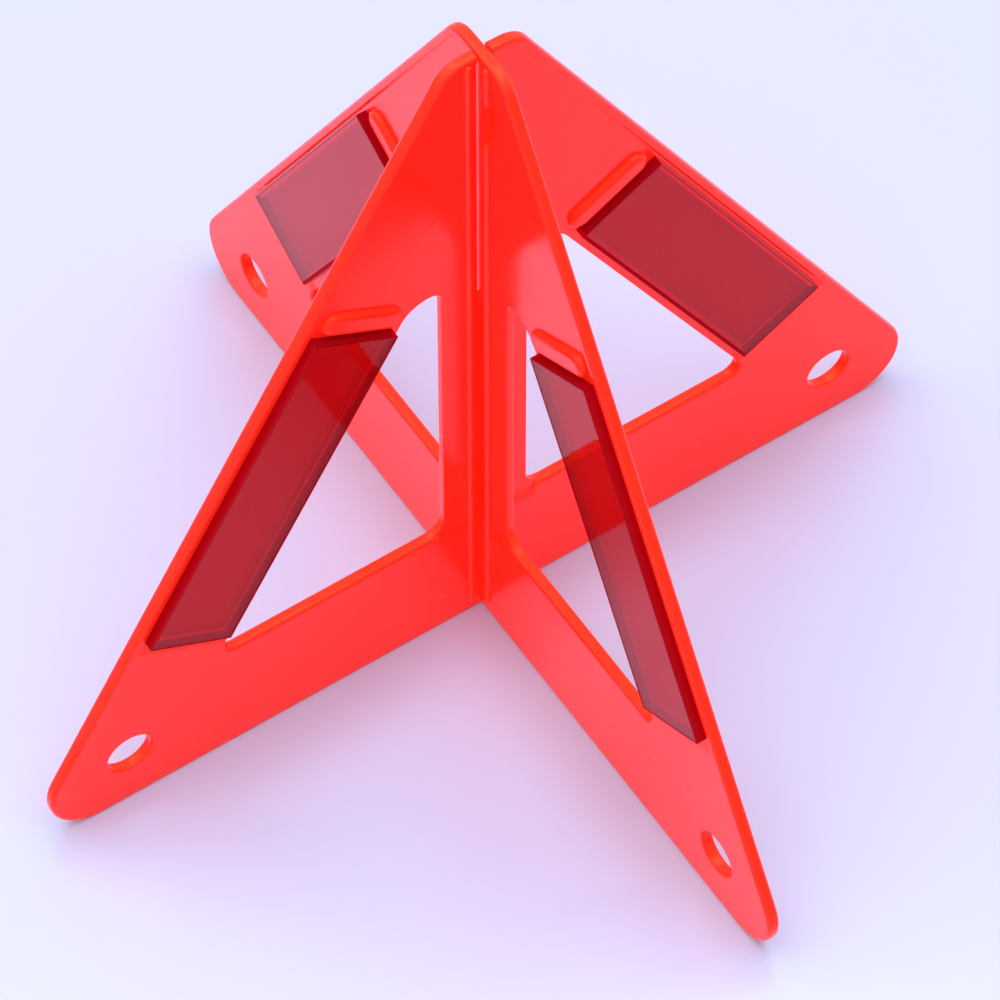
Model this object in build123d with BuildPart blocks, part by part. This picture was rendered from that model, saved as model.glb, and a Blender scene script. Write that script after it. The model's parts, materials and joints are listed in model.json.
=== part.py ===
from build123d import *
import os
from math import cos, radians, sin

# Slot-together warning triangle: two triangular plates cross at right angles on the Z axis.
# The lower panel stands along X with its slot open at the top. The upper panel stands along Y
# with its slot open at the bottom, and drops over the lower one. Every wing carries one
# reflector on its front face (south on the lower panel, west on the upper one): a hollow red
# lens, bonded to the plate by its walls, over a strip of reflective film.
# Origin: on the ground, on the crossing axis. Units: millimetres.

# ---- Panel outline --------------------------------------------------------------------------
SLOPE = 60.0                # base angle of the equilateral triangle, degrees
HALF_BASE = 125.0           # half the side, measured to the sharp corner
HEIGHT = 200.6              # the apex is cut off flat at this height
PANEL_T = 3.0               # plate thickness
FOOT_R = 12.5               # rounding of the two feet
APEX_R = 7.5                # rounding of the two shoulders of the blunt apex
EDGE_R = 1.0                # rounding of the outline and the windows, seen in section

# ---- Window, slot and tie-down hole ---------------------------------------------------------
COLUMN = 11.0               # from the axis to the window's upright side
WINDOW_Z = 36.2             # window sill
WINDOW_TOP = 126.8          # window head
WINDOW_EDGE = 28.5          # from the sloping outer edge to the window's sloping side
WINDOW_R = (5.0, 3.0, 8.0, 3.0)   # sill inner, sill outer, head outer, head inner corners
SLOT_HALF = 1.9             # half the slot's width: 0.4 mm of play on each face of a plate
SLOT_END_R = 0.8            # rounding of the slot's closed end
LOWER_SLOT_FLOOR = 117.0    # the lower panel is slotted from here to its apex
UPPER_SLOT_HEAD = 118.0     # the upper panel is slotted from the ground up to here
HOLE_U = 95.1               # tie-down hole, from the axis
HOLE_Z = 17.4               # tie-down hole, above the ground
HOLE_R = 5.7
HOLE_EDGE_R = 0.6           # rounding of the hole's rims, seen in section

# ---- Relief ---------------------------------------------------------------------------------
RIM = 1.8                   # width of the raised rim round the sunken web
RECESS = 0.5                # depth of the sunken web
RECESS_DRAFT = 45           # slope of its border, degrees: the border is as wide as it is deep
RECESS_START = 66.9         # the web is at its full depth from here, measured up the sloping edge
RECESS_SILL = WINDOW_Z      # and from here in the column beside the slot
RAMP_L = 3.6                # below that it rises to the face of the foot
BEAD_U = 4.3                # guide bead, from the axis
BEAD_W = 1.8
BEAD_TOP = PANEL_T / 2 + 0.9      # crest of the bead, from the plate's mid-plane
BEAD_FOOT = 4.0                   # every bead starts here, above the ground
BEAD_TALL = 199.3                 # and runs into the rim of the apex
BEAD_SHORT = 174.5                # or stops here
BEAD_TIP = 187.5                  # the south wing's short bead goes on from here to the apex
CREST_FLAT = 0.05           # what the rounding of a bead or ridge leaves of its height or half-width
RIDGE_W = 6.0               # stop ridge above each lens
RIDGE_TOP = PANEL_T / 2 + 1.0
RIDGE_A = 161.2             # centre of the ridge, measured up the sloping edge
RIDGE_E = (4.0, 26.2)       # its two ends, measured in from the sloping edge
MARK_U = -16.5              # faint ring left by the mould on the lower panel's west wing
MARK_Z = 155.5
MARK_R = 5.2
MARK_W = 0.5
MARK_DEPTH = 0.05

# ---- Reflector ------------------------------------------------------------------------------
LENS_L = 90.5               # along the sloping edge
LENS_W = 23.3               # across it
LENS_A = RECESS_START + LENS_L / 2    # lens centre, measured up the sloping edge
LENS_E = 3.0 + LENS_W / 2   # lens centre, measured in from it
LENS_TOP = 3.6              # lens face, from the plate's mid-plane
LENS_R = 0.2                # rounding of the lens's outer edges
LENS_WALL = 1.2             # its side walls
LENS_FACE_T = 0.8           # its front wall
FILM_T = 0.25               # reflective film, stuck to the plate inside the lens
FILM_PLAY = 0.3             # gap between the film's edges and the lens's walls
FILM_R = 0.8                # its cut corners

WEB_FACE = PANEL_T / 2 - RECESS   # sunken face, from the mid-plane
CAVITY_L = LENS_L - 2 * LENS_WALL
CAVITY_W = LENS_W - 2 * LENS_WALL

# Both planes have local y up and their normal out of the panel's front face.
LOWER_PLANE = Plane.XZ      # local x runs along +X, front face to the south (-Y)
UPPER_PLANE = Plane(origin=(0, 0, 0), x_dir=(0, -1, 0), z_dir=(-1, 0, 0))   # front to the west (-X)


def edge_point(along, inward, side=1):
    """Panel point (u, z) `along` up the sloping edge and `inward` from it, on wing `side`."""
    u = HALF_BASE - along * cos(radians(SLOPE)) - inward * sin(radians(SLOPE))
    z = along * sin(radians(SLOPE)) - inward * cos(radians(SLOPE))
    return side * u, z


def edge_point_at_height(z, inward, side=1):
    """Panel point at height z on the line that runs `inward` from the sloping edge."""
    along = (z + inward * cos(radians(SLOPE))) / sin(radians(SLOPE))
    return edge_point(along, inward, side)


def wing_plane(panel_plane, side, along, inward):
    """Plane on a wing's mid-plane, its x axis running up the wing's sloping edge."""
    u, z = edge_point(along, inward, side)
    uphill = panel_plane.x_dir * (-side * cos(radians(SLOPE))) + panel_plane.y_dir * sin(radians(SLOPE))
    return Plane(panel_plane.from_local_coords((u, z, 0)), x_dir=uphill, z_dir=panel_plane.z_dir)


def outline_sketch():
    """The triangle with its blunt apex and rounded feet, as a flat face."""
    with BuildSketch() as outline:
        with BuildLine():
            Polyline(
                (-HALF_BASE, 0), (HALF_BASE, 0),
                edge_point_at_height(HEIGHT, 0), edge_point_at_height(HEIGHT, 0, -1),
                close=True,
            )
        make_face()
        fillet(outline.vertices().group_by(Axis.Y)[0], radius=FOOT_R)
        fillet(outline.vertices().group_by(Axis.Y)[-1], radius=APEX_R)
    return outline.sketch


def window_sketch(side):
    """One wing's opening: upright, sill, slope and a short head, each corner with its own radius."""
    corners = [
        (side * COLUMN, WINDOW_Z),
        edge_point_at_height(WINDOW_Z, WINDOW_EDGE, side),
        edge_point_at_height(WINDOW_TOP, WINDOW_EDGE, side),
        (side * COLUMN, WINDOW_TOP),
    ]
    with BuildSketch() as window:
        with BuildLine():
            Polyline(*corners, close=True)
        make_face()
        for corner, radius in zip(corners, WINDOW_R):
            fillet(window.vertices().sort_by_distance(corner)[0], radius=radius)
    return window.sketch


def slot_sketch(bottom, top):
    """The slot between two heights; the end that leaves the plate is drawn past its edge."""
    with BuildSketch() as slot:
        with Locations((0, (bottom + top) / 2)):
            Rectangle(2 * SLOT_HALF, top - bottom)
        closed_end = slot.vertices().group_by(Axis.Y)[-1 if bottom < 0 else 0]
        fillet(closed_end, radius=SLOT_END_R)
    return slot.sketch


def foot_zone_sketch():
    """The part of the face that keeps its full thickness: both feet and the bottom bar."""
    inside_window = WINDOW_EDGE + RIM
    right = [
        edge_point(RECESS_START - RECESS, -RIM), edge_point(RECESS_START - RECESS, inside_window),
        (COLUMN + RIM, RECESS_SILL - RECESS),
    ]
    left = [(-u, z) for u, z in reversed(right)]
    with BuildSketch() as zone:
        with BuildLine():
            Polyline((-HALF_BASE, -RIM), (HALF_BASE, -RIM), *right, *left, close=True)
        make_face()
    return zone.sketch


def make_pill(plane, length, width, height):
    """A raised bar, upright in its plane, with round ends and a round back."""
    with BuildPart() as bar:
        with BuildSketch(plane):
            SlotOverall(length, width, rotation=90)
        extrude(amount=height)
        crest = bar.edges().group_by(Axis(plane.origin, plane.z_dir))[-1]
        fillet(crest, radius=min(height, width / 2) - CREST_FLAT)
    return bar.part


def make_ramp(start, width):
    """The wedge by which the sunken web rises to the face. At `start` the web has its full depth,
    and the ramp runs against that plane's x axis; its z axis points out of the face."""
    with BuildPart() as ramp:
        with BuildSketch(Plane(start.origin, x_dir=start.x_dir, z_dir=-start.y_dir)):
            with BuildLine():
                Polyline((-RAMP_L, 0), (0, 0), (0, -RECESS), close=True)
            make_face()
        extrude(amount=width / 2, both=True)
    return ramp.part


def make_ramps(plane):
    """The ramps of one face: one below each lens's place and one in the column."""
    web_width = WINDOW_EDGE - RIM
    ramps = []
    for side in (-1, 1):
        start = wing_plane(plane, side, RECESS_START, RIM + web_width / 2)
        ramps.append(make_ramp(start.offset(PANEL_T / 2), web_width))
    foot = plane.from_local_coords((0, RECESS_SILL, PANEL_T / 2))
    foot = Plane(foot, x_dir=plane.y_dir, z_dir=plane.z_dir)
    ramps.append(make_ramp(foot, 2 * (COLUMN + RIM)))
    return ramps


def make_beads(plane, spans, mirror=1):
    """The guide beads on one face: each span is a wing's side and the bead's foot and top.
    On the back face, whose x axis runs the other way, `mirror` is -1."""
    beads = []
    for side, low, high in spans:
        foot = plane.from_local_coords((mirror * side * BEAD_U, (low + high) / 2, WEB_FACE))
        bead_plane = Plane(foot, x_dir=plane.x_dir, z_dir=plane.z_dir)
        beads.append(make_pill(bead_plane, high - low, BEAD_W, BEAD_TOP - WEB_FACE))
    return beads


def make_ridges(plane):
    """The stop ridges above the two lenses."""
    ridges = []
    for side in (-1, 1):
        middle = wing_plane(plane, side, RIDGE_A, sum(RIDGE_E) / 2).offset(WEB_FACE)
        ridges.append(make_pill(middle, RIDGE_E[1] - RIDGE_E[0], RIDGE_W, RIDGE_TOP - WEB_FACE))
    return ridges


def make_panel(plane, slot_bottom, slot_top, bead_spans):
    """A whole plate: outline, openings, slot, sunken web, guide beads and stop ridges."""
    outline = outline_sketch()
    windows = [window_sketch(side) for side in (-1, 1)]
    slot = slot_sketch(slot_bottom, slot_top)
    foot_zone = foot_zone_sketch()
    back_plane = Plane(plane.origin, x_dir=-plane.x_dir, z_dir=-plane.z_dir)
    ramps = make_ramps(plane) + make_ramps(back_plane)
    beads = make_beads(plane, bead_spans) + make_beads(back_plane, bead_spans, mirror=-1)
    ridges = make_ridges(plane)
    normal = Axis(plane.origin, plane.z_dir)

    with BuildPart() as panel:
        with BuildSketch(plane):
            add(outline)
            add(windows, mode=Mode.SUBTRACT)
        extrude(amount=PANEL_T / 2, both=True)
        rims = panel.edges().group_by(normal)
        fillet(rims[0] + rims[-1], radius=EDGE_R)

        with BuildSketch(plane):
            with Locations((-HOLE_U, HOLE_Z), (HOLE_U, HOLE_Z)):
                Circle(HOLE_R)
        extrude(amount=PANEL_T / 2, both=True, mode=Mode.SUBTRACT)
        hole_rims = panel.edges(Select.LAST).filter_by(GeomType.CIRCLE)
        fillet(hole_rims, radius=HOLE_EDGE_R)

        with BuildSketch(plane):
            add(slot)
        extrude(amount=PANEL_T / 2, both=True, mode=Mode.SUBTRACT)

        for face in (-1, 1):
            with BuildSketch(plane.offset(face * PANEL_T / 2)):
                add(outline)
                offset(amount=-RIM, mode=Mode.REPLACE)
                add(foot_zone, mode=Mode.SUBTRACT)
            extrude(amount=-face * RECESS, taper=RECESS_DRAFT, mode=Mode.SUBTRACT)
        add(ramps, mode=Mode.SUBTRACT)
        add(beads)
        add(ridges)
    return panel


def mark_panel(panel, plane):
    """The shallow ring that the mould leaves in the sunken web."""
    with BuildPart() as marked:
        add(panel.part)
        with BuildSketch(plane.offset(WEB_FACE)):
            with Locations((MARK_U, MARK_Z)):
                Circle(MARK_R)
                Circle(MARK_R - MARK_W, mode=Mode.SUBTRACT)
        extrude(amount=-MARK_DEPTH, mode=Mode.SUBTRACT)
    return marked


def make_lens(seat):
    """A hollow red lens: a front wall and four side walls that stand on the web."""
    with BuildPart() as lens:
        with BuildSketch(seat.offset(WEB_FACE)):
            Rectangle(LENS_L, LENS_W)
        extrude(amount=LENS_TOP - WEB_FACE)
        normal = Axis(seat.origin, seat.z_dir)
        fillet(lens.edges().filter_by(normal), radius=LENS_R)
        fillet(lens.edges().group_by(normal)[-1], radius=LENS_R)
        with BuildSketch(seat.offset(WEB_FACE)):
            Rectangle(CAVITY_L, CAVITY_W)
        extrude(amount=LENS_TOP - LENS_FACE_T - WEB_FACE, mode=Mode.SUBTRACT)
    return lens


def make_film(seat):
    """The strip of reflective film on the plate, inside the lens."""
    with BuildPart() as film:
        with BuildSketch(seat.offset(WEB_FACE)):
            RectangleRounded(CAVITY_L - 2 * FILM_PLAY, CAVITY_W - 2 * FILM_PLAY, FILM_R)
        extrude(amount=FILM_T)
    return film


def save(piece, name):
    """Label a finished piece and write it under its own name."""
    piece.part.label = name
    export_step(piece.part, f"parts/{name}.step")


os.makedirs("parts", exist_ok=True)

lower_beads = [(-1, BEAD_FOOT, BEAD_TALL), (1, BEAD_FOOT, BEAD_SHORT)]
lower_panel = make_panel(LOWER_PLANE, LOWER_SLOT_FLOOR, HEIGHT + RIM, lower_beads)
save(mark_panel(lower_panel, LOWER_PLANE), "lower_panel")

upper_beads = [(-1, BEAD_FOOT, BEAD_SHORT), (1, BEAD_FOOT, BEAD_SHORT), (1, BEAD_TIP, BEAD_TALL)]
upper_panel = make_panel(UPPER_PLANE, -RIM, UPPER_SLOT_HEAD, upper_beads)
save(upper_panel, "upper_panel")

# Each wing: its name, its panel's plane and its side along the plane's x axis.
WINGS = [
    ("west", LOWER_PLANE, -1),
    ("east", LOWER_PLANE, 1),
    ("south", UPPER_PLANE, 1),
    ("north", UPPER_PLANE, -1),
]

for wing, panel_plane, wing_side in WINGS:
    seat = wing_plane(panel_plane, wing_side, LENS_A, LENS_E)
    save(make_lens(seat), f"{wing}_lens")
    save(make_film(seat), f"{wing}_reflective_film")
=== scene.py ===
import json
import math

import bpy
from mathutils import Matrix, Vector

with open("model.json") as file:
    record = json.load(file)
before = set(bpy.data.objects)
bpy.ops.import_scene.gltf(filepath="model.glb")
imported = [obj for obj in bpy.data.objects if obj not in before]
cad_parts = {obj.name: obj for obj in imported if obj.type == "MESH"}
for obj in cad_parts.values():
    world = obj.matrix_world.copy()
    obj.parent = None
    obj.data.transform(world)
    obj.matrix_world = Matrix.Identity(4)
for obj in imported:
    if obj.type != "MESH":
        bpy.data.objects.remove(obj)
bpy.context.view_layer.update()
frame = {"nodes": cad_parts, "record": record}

MM = 0.001

# Camera: where it looks, from how far, and how it is turned
LOOK_AT = Vector((3.4, -1.8, 38.1)) * MM
CAMERA_DISTANCE = 1398.8 * MM
CAMERA_AZIMUTH = math.radians(-33.6)
CAMERA_ELEVATION = math.radians(55.54)
CAMERA_LENS = 224.1
CAMERA_SENSOR = 36.0
CAMERA_NEAR = 0.05
CAMERA_FAR = 50.0

# The wings' shape, to find the lenses' borders, and how wide the painted shade bands along those
# borders are
SLOPE = math.radians(60.0)
HALF_BASE = 125.0 * MM
LENS_EDGE = 0.45 * MM
LENS_BORDER_SHADE = 0.9 * MM
LENS_BORDER_SHADE_BOTTOM = 0.6 * MM

# Table and light
TABLE_SIZE = 9.0
TABLE_WHITE = (0.52, 0.46, 0.48)
TABLE_ROUGHNESS = 0.22
SKY_COLOUR = (0.85, 1.00, 1.28)
SKY_STRENGTH = 0.80
CEILING_SIZE = 2.0
CEILING_HEIGHT = 2.0
CEILING_POWER = 51.0
CEILING_COLOUR = (0.78, 0.96, 1.50)
WINDOW_SIZE = 1.6
WINDOW_DISTANCE = 2.4
WINDOW_AZIMUTH = math.radians(-128.0)
WINDOW_ELEVATION = math.radians(50.0)
WINDOW_POWER = 10.0
WINDOW_COLOUR = (1.0, 0.99, 1.15)

# Material colours (linear)
RED = (1.0, 0.014, 0.004)
RED_DEEP = (0.97, 0.010, 0.004)
# Painted highlight: the plates' edges are a lighter orange red, as if they caught more light
RED_EDGE_HIGHLIGHT = (1.0, 0.032, 0.010)
RED_GLINT = (1.0, 0.24, 0.10)
# Painted glow: the red plastic emits light, though it is no lamp, to brighten its red and tint the
# table near it
RED_PAINTED_GLOW = (1.0, 0.025, 0.008)
RED_PAINTED_GLOW_STRENGTH = 0.26
LENS_RED = (1.0, 0.002, 0.014)
# Painted shade along the lens's border at the rim
LENS_WALL_SHADE_RED = (0.40, 0.001, 0.004)
# Painted shade at the lens's end by the ridge
LENS_END_SHADE_RED = (0.28, 0.001, 0.004)
# Painted shade along the lens's inner and bottom borders, where the lens is opaque and barely reflects
LENS_BORDER_SHADE_RED = (0.45, 0.001, 0.008)
LENS_CLEARNESS = 0.86
LENS_IOR = 1.30
LENS_BORDER_SHADE_IOR = 1.03
LENS_DEPTH = (0.975, 0.0, 0.25)
LENS_DEPTH_DENSITY = 1400.0
LENS_GLINT = (1.0, 0.0, 0.0)
FILM_SILVER = (0.90, 0.89, 0.90)
FILM_METAL = 0.5
FILM_ROUGHNESS = 0.45
FILM_CELLS = 1400.0
DUST = (0.95, 0.12, 0.10)

# Plastic: what is under its surface, and its finish
PLASTIC_IOR = 1.5
SCATTER_WEIGHT = 0.6
SCATTER_RADIUS = (1.0, 0.12, 0.08)
SCATTER_SCALE = 0.007
FLOW_SCALE = 28.0
POLISH_SCALE = 160.0
POLISH = (0.16, 0.24)
GRAIN_SCALE = 900.0
# Where the painted edge highlight begins and where it is full, by how far the surface turns from the
# flat faces
RIM_TURN = (0.97, 0.6)

# Lens finish
LENS_HAZE_SCALE = 300.0
LENS_HAZE = (0.02, 0.06)
LENS_WAVE_SCALE = 500.0

# Noise between these two levels is stretched to a full range
NOISE_LOW = 0.3
NOISE_HIGH = 0.7

# Wear on the plastic
DUST_SCALE = 420.0
DUST_SIZE = 0.06
DUST_COVER = 0.02
SCRATCH_SCALE = (9.0, 700.0, 700.0)
SCRATCH_TURNS = ((0.3, 0.9, 0.7), (1.2, -0.6, 2.2))
SCRATCH_LEVELS = (0.745, 0.755)
SCRATCH_EDGE = 0.02
SCRATCH_ROUGHNESS = 0.06
SCRATCH_DEPTH = 0.08
SPECK_CORE = 0.6


def direction(azimuth, elevation):
    """Unit vector from the object towards a point seen at that azimuth (0 is -Y) and elevation."""
    flat = math.cos(elevation)
    return Vector((math.sin(azimuth) * flat, -math.cos(azimuth) * flat, math.sin(elevation)))


def aim(thing, position, target):
    thing.location = position
    thing.rotation_mode = "QUATERNION"
    thing.rotation_quaternion = (target - position).to_track_quat("-Z", "Y")


class Graph:
    """A material's node tree with short ways to add nodes and wires."""

    def __init__(self, name):
        self.material = bpy.data.materials.new(name)
        self.material.use_nodes = True
        self.nodes = self.material.node_tree.nodes
        self.links = self.material.node_tree.links
        self.shader = self.nodes["Principled BSDF"]

    def add(self, kind, **settings):
        node = self.nodes.new(kind)
        for key, value in settings.items():
            setattr(node, key, value)
        return node

    def wire(self, source, target, socket):
        self.links.new(source, target.inputs[socket])

    def place(self):
        """Object coordinates: metres in the object's own frame."""
        return self.add("ShaderNodeTexCoord").outputs["Object"]

    def noise(self, scale, detail=2.0, roughness=0.5):
        node = self.add("ShaderNodeTexNoise")
        node.inputs["Scale"].default_value = scale
        node.inputs["Detail"].default_value = detail
        node.inputs["Roughness"].default_value = roughness
        self.wire(self.place(), node, "Vector")
        return node.outputs["Fac"]

    def spread(self, value, low, high, out_low, out_high):
        """Maps the range low..high to out_low..out_high."""
        node = self.add("ShaderNodeMapRange")
        self.wire(value, node, "Value")
        ends = {"From Min": low, "From Max": high, "To Min": out_low, "To Max": out_high}
        for key, number in ends.items():
            node.inputs[key].default_value = number
        return node.outputs["Result"]

    def socket_of(self, node, name, kind):
        """A Mix node has one set of sockets per data type; this finds the one of the given type."""
        return next(s for s in node.inputs if s.name == name and s.type == kind)

    def blend_colours(self, value, first, second):
        """Mixes two colours, each a triple or the output of another node."""
        node = self.add("ShaderNodeMix", data_type="RGBA")
        self.wire(value, node, "Factor")
        for name, colour in (("A", first), ("B", second)):
            socket = self.socket_of(node, name, "RGBA")
            if isinstance(colour, tuple):
                socket.default_value = (*colour, 1.0)
            else:
                self.links.new(colour, socket)
        return next(s for s in node.outputs if s.type == "RGBA")

    def math(self, operation, first, second):
        node = self.add("ShaderNodeMath", operation=operation)
        for number, value in enumerate((first, second)):
            if isinstance(value, float):
                node.inputs[number].default_value = value
            else:
                self.links.new(value, node.inputs[number])
        return node.outputs["Value"]

    def scratches(self, turn, low):
        """Thin hairlines that run along one direction of space: 1 on a line, 0 beside it."""
        mapping = self.add("ShaderNodeMapping")
        mapping.inputs["Rotation"].default_value = turn
        mapping.inputs["Scale"].default_value = SCRATCH_SCALE
        self.wire(self.place(), mapping, "Vector")
        lines = self.add("ShaderNodeTexNoise")
        lines.inputs["Scale"].default_value = 1.0
        lines.inputs["Detail"].default_value = 1.0
        self.wire(mapping.outputs["Vector"], lines, "Vector")
        return self.spread(lines.outputs["Fac"], low, low + SCRATCH_EDGE, 0.0, 1.0)

    def specks(self, scale, size):
        """Scattered dots of dust: 1 on a dot, 0 beside it."""
        cells = self.add("ShaderNodeTexVoronoi", feature="F1")
        cells.inputs["Scale"].default_value = scale
        self.wire(self.place(), cells, "Vector")
        return self.spread(cells.outputs["Distance"], size, size * SPECK_CORE, 0.0, 1.0)

    def rim(self):
        """0 on the two flat faces of a plate, rising to 1 where the surface turns away from them: the
        mask of the painted edge highlight.
        """
        split = self.add("ShaderNodeSeparateXYZ")
        self.wire(self.add("ShaderNodeTexCoord").outputs["Normal"], split, "Vector")
        along_x = self.math("ABSOLUTE", split.outputs["X"], 0.0)
        along_y = self.math("ABSOLUTE", split.outputs["Y"], 0.0)
        return self.spread(self.math("MAXIMUM", along_x, along_y), *RIM_TURN, 0.0, 1.0)

    def bump(self, height, strength, distance):
        node = self.add("ShaderNodeBump")
        node.inputs["Strength"].default_value = strength
        node.inputs["Distance"].default_value = distance
        self.wire(height, node, "Height")
        return node.outputs["Normal"]


def red_plastic():
    g = Graph("red_plastic")
    flow = g.spread(g.noise(FLOW_SCALE, 3.0), NOISE_LOW, NOISE_HIGH, 0.0, 1.0)
    body = g.blend_colours(flow, RED, RED_DEEP)
    # Painted highlight: edges that turn away from the flat faces get a lighter orange red
    edge_highlighted = g.blend_colours(g.rim(), body, RED_EDGE_HIGHLIGHT)
    dust = g.math("MULTIPLY", g.specks(DUST_SCALE, DUST_SIZE), DUST_COVER)
    g.wire(g.blend_colours(dust, edge_highlighted, DUST), g.shader, "Base Color")
    hairlines = g.math("MAXIMUM", *map(g.scratches, SCRATCH_TURNS, SCRATCH_LEVELS))
    polish = g.spread(g.noise(POLISH_SCALE, 4.0, 0.6), NOISE_LOW, NOISE_HIGH, *POLISH)
    scuffed = g.math("ADD", polish, g.math("MULTIPLY", hairlines, SCRATCH_ROUGHNESS))
    g.wire(scuffed, g.shader, "Roughness")
    grain = g.math("SUBTRACT", g.noise(GRAIN_SCALE, 2.0), g.math("MULTIPLY", hairlines, SCRATCH_DEPTH))
    g.wire(g.bump(grain, 0.06, 0.0004), g.shader, "Normal")
    g.shader.inputs["IOR"].default_value = PLASTIC_IOR
    g.shader.inputs["Specular Tint"].default_value = (*RED_GLINT, 1.0)
    g.shader.inputs["Subsurface Weight"].default_value = SCATTER_WEIGHT
    g.shader.inputs["Subsurface Radius"].default_value = SCATTER_RADIUS
    g.shader.inputs["Subsurface Scale"].default_value = SCATTER_SCALE
    # Painted glow: emission brightens the plastic's red and throws red light onto the table
    g.shader.inputs["Emission Color"].default_value = (*RED_PAINTED_GLOW, 1.0)
    g.shader.inputs["Emission Strength"].default_value = RED_PAINTED_GLOW_STRENGTH
    return g.material


def up_and_in(point):
    """Where a point of a wing lies: how far up its sloping edge, and how far in from it."""
    out = HALF_BASE - max(abs(point.x), abs(point.y))
    up = out * math.cos(SLOPE) + point.z * math.sin(SLOPE)
    inward = out * math.sin(SLOPE) - point.z * math.cos(SLOPE)
    return up, inward


def lens_frame():
    """The lens's four borders as (up low, up high, inward low, inward high), from its mesh."""
    lens = frame["nodes"]["west_lens"]
    places = [up_and_in(lens.matrix_world @ corner.co) for corner in lens.data.vertices]
    ups = [up for up, inward in places]
    inwards = [inward for up, inward in places]
    return min(ups), max(ups), min(inwards), max(inwards)


def lens_shade_bands(g):
    """Masks for the painted shade bands: along the lens's border at the rim, at its end at the ridge,
    and along its other two borders.
    """
    bottom, top, outer, inner = lens_frame()
    split = g.add("ShaderNodeSeparateXYZ")
    g.wire(g.place(), split, "Vector")
    sideways = g.math("MAXIMUM", g.math("ABSOLUTE", split.outputs["X"], 0.0),
                      g.math("ABSOLUTE", split.outputs["Y"], 0.0))
    out = g.math("SUBTRACT", HALF_BASE, sideways)
    height = split.outputs["Z"]
    up = g.math("ADD", g.math("MULTIPLY", out, math.cos(SLOPE)),
                g.math("MULTIPLY", height, math.sin(SLOPE)))
    inward = g.math("SUBTRACT", g.math("MULTIPLY", out, math.sin(SLOPE)),
                    g.math("MULTIPLY", height, math.cos(SLOPE)))
    rim_shade = g.math("LESS_THAN", inward, outer + LENS_EDGE)
    ridge_shade = g.math("GREATER_THAN", up, top - LENS_EDGE)
    inner_bottom_shade = g.math("MAXIMUM", g.math("GREATER_THAN", inward, inner - LENS_BORDER_SHADE),
                  g.math("LESS_THAN", up, bottom + LENS_BORDER_SHADE_BOTTOM))
    return rim_shade, ridge_shade, inner_bottom_shade


def red_lens():
    g = Graph("red_lens")
    rim_shade, ridge_shade, inner_bottom_shade = lens_shade_bands(g)
    # Painted shade: the lens darkens along its border at the rim, at its end by the ridge, and along
    # its inner and bottom borders
    wall_shaded = g.blend_colours(rim_shade, LENS_RED, LENS_WALL_SHADE_RED)
    end_shaded = g.blend_colours(ridge_shade, wall_shaded, LENS_END_SHADE_RED)
    g.wire(g.blend_colours(inner_bottom_shade, end_shaded, LENS_BORDER_SHADE_RED), g.shader, "Base Color")
    # The painted shade bands are opaque, and along the inner and bottom borders they barely reflect
    shade_bands = g.math("MAXIMUM", g.math("MAXIMUM", rim_shade, ridge_shade), inner_bottom_shade)
    g.wire(g.spread(shade_bands, 0.0, 1.0, LENS_CLEARNESS, 0.0), g.shader, "Transmission Weight")
    g.wire(g.spread(inner_bottom_shade, 0.0, 1.0, LENS_IOR, LENS_BORDER_SHADE_IOR), g.shader, "IOR")
    g.shader.inputs["Specular Tint"].default_value = (*LENS_GLINT, 1.0)
    depth = g.add("ShaderNodeVolumeAbsorption")
    depth.inputs["Color"].default_value = (*LENS_DEPTH, 1.0)
    depth.inputs["Density"].default_value = LENS_DEPTH_DENSITY
    g.wire(depth.outputs["Volume"], g.nodes["Material Output"], "Volume")
    haze = g.spread(g.noise(LENS_HAZE_SCALE, 3.0), NOISE_LOW, NOISE_HIGH, *LENS_HAZE)
    g.wire(haze, g.shader, "Roughness")
    g.wire(g.bump(g.noise(LENS_WAVE_SCALE, 1.0), 0.04, 0.0003), g.shader, "Normal")
    return g.material


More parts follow.
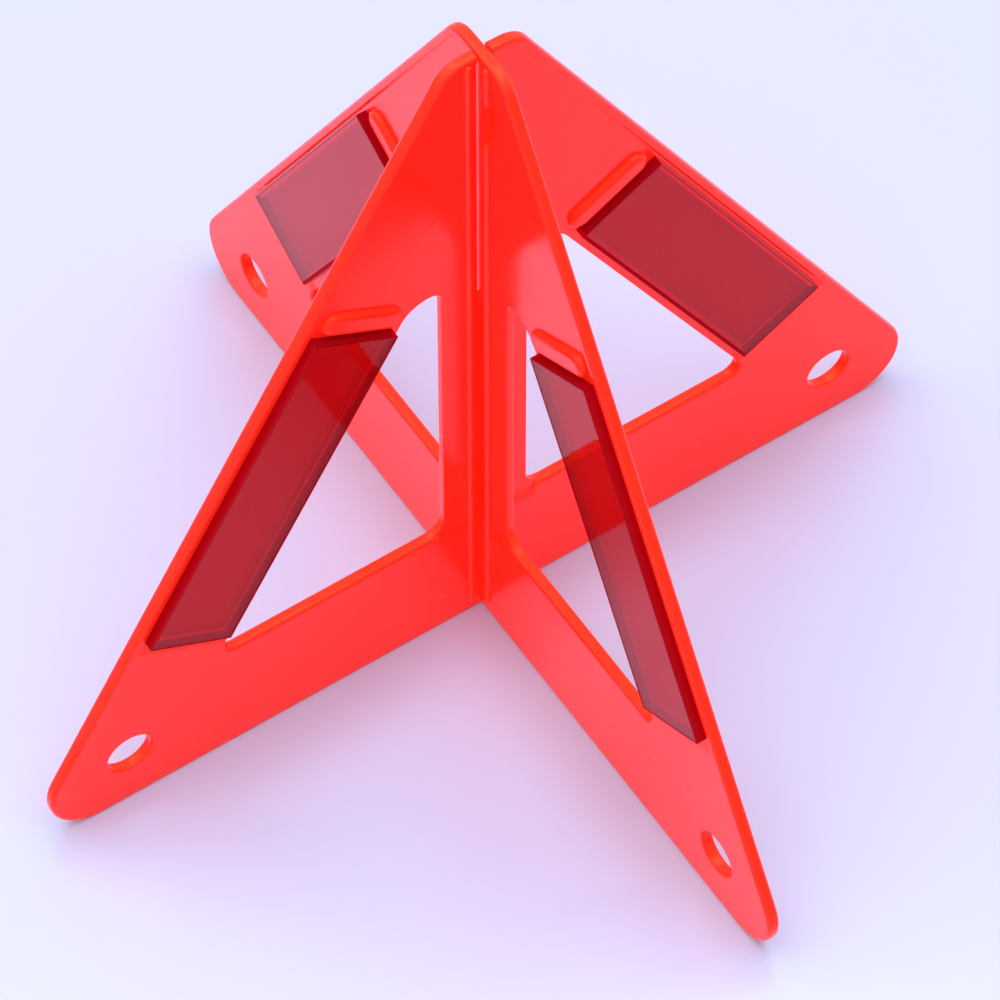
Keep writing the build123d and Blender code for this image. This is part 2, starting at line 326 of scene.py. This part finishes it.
def reflective_film():
    g = Graph("reflective_film")
    g.shader.inputs["Base Color"].default_value = (*FILM_SILVER, 1.0)
    g.shader.inputs["Metallic"].default_value = FILM_METAL
    g.shader.inputs["Roughness"].default_value = FILM_ROUGHNESS
    cells = g.add("ShaderNodeTexVoronoi", feature="F1")
    cells.inputs["Scale"].default_value = FILM_CELLS
    g.wire(g.place(), cells, "Vector")
    g.wire(g.bump(cells.outputs["Distance"], 0.2, 0.0004), g.shader, "Normal")
    return g.material


def paint_nodes():
    looks = {"red_plastic": red_plastic(), "red_lens": red_lens(), "reflective_film": reflective_film()}
    for part in frame["record"]["subparts"]:
        node = frame["nodes"][part["node"]]
        node.data.materials.clear()
        node.data.materials.append(looks[part["material_slot"]])


def table_top():
    bpy.ops.mesh.primitive_plane_add(size=TABLE_SIZE)
    table = bpy.context.object
    table.name = "table"
    g = Graph("table_white")
    g.shader.inputs["Base Color"].default_value = (*TABLE_WHITE, 1.0)
    g.shader.inputs["Roughness"].default_value = TABLE_ROUGHNESS
    table.data.materials.append(g.material)


def soft_box(name, size, power, colour, position):
    lamp = bpy.data.lights.new(name, "AREA")
    lamp.size = size
    lamp.energy = power
    lamp.color = colour
    box = bpy.data.objects.new(name, lamp)
    bpy.context.scene.collection.objects.link(box)
    aim(box, position, LOOK_AT)


def studio_light():
    world = bpy.data.worlds.new("studio")
    bpy.context.scene.world = world
    world.use_nodes = True
    sky = world.node_tree.nodes["Background"]
    sky.inputs["Color"].default_value = (*SKY_COLOUR, 1.0)
    sky.inputs["Strength"].default_value = SKY_STRENGTH
    window_place = direction(WINDOW_AZIMUTH, WINDOW_ELEVATION) * WINDOW_DISTANCE
    soft_box("window", WINDOW_SIZE, WINDOW_POWER, WINDOW_COLOUR, window_place)
    soft_box("ceiling", CEILING_SIZE, CEILING_POWER, CEILING_COLOUR, Vector((0, 0, CEILING_HEIGHT)))


def camera():
    data = bpy.data.cameras.new("camera")
    data.lens = CAMERA_LENS
    data.sensor_width = CAMERA_SENSOR
    data.clip_start = CAMERA_NEAR
    data.clip_end = CAMERA_FAR
    eye = bpy.data.objects.new("camera", data)
    bpy.context.scene.collection.objects.link(eye)
    aim(eye, LOOK_AT + direction(CAMERA_AZIMUTH, CAMERA_ELEVATION) * CAMERA_DISTANCE, LOOK_AT)
    bpy.context.scene.camera = eye


bpy.context.scene.view_settings.view_transform = "Standard"
paint_nodes()
table_top()
studio_light()
camera()
